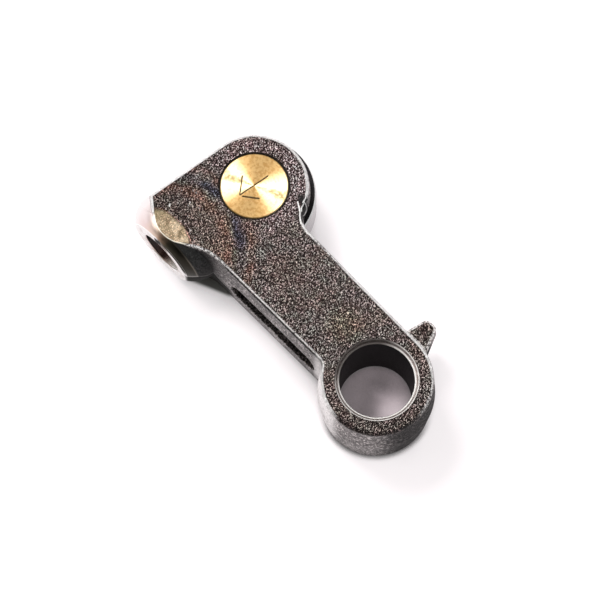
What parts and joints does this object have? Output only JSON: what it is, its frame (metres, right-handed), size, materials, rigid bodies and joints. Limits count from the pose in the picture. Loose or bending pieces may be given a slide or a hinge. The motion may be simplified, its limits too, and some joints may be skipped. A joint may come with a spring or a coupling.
{
  "type": "roller rocker arm",
  "caption": "Forged rocker lever with a plain pivot bore, a forked end carrying a cam roller on a bronze pin, a cupped push-rod boss and a small lug.",
  "frame": {"origin": "on the pivot bore's axis, half way through the lever", "axes": "+X from the pivot bore to the roller pin, +Y to the push-rod socket's side, +Z along the pivot bore, up when the lever lies on its side"},
  "size_m": [0.1204, 0.0689, 0.031],
  "materials": {
    "forged_steel": "shot-blasted forging, temper colours round the hardened socket, bore and boss machined",
    "bearing_steel": "hardened and ground",
    "pin_bronze": "fine turned end faces"
  },
  "bodies": {
    "lever": {"lever_body": "forged_steel", "roller_pin": "pin_bronze"},
    "roller": {"roller": "bearing_steel"}
  },
  "joints": [
    {"name": "roller_spin", "type": "hinge", "parent": "lever", "child": "roller", "pos_m": [0.0795, 0, 0], "axis": [0, 0, 1], "continuous": true}
  ]
}
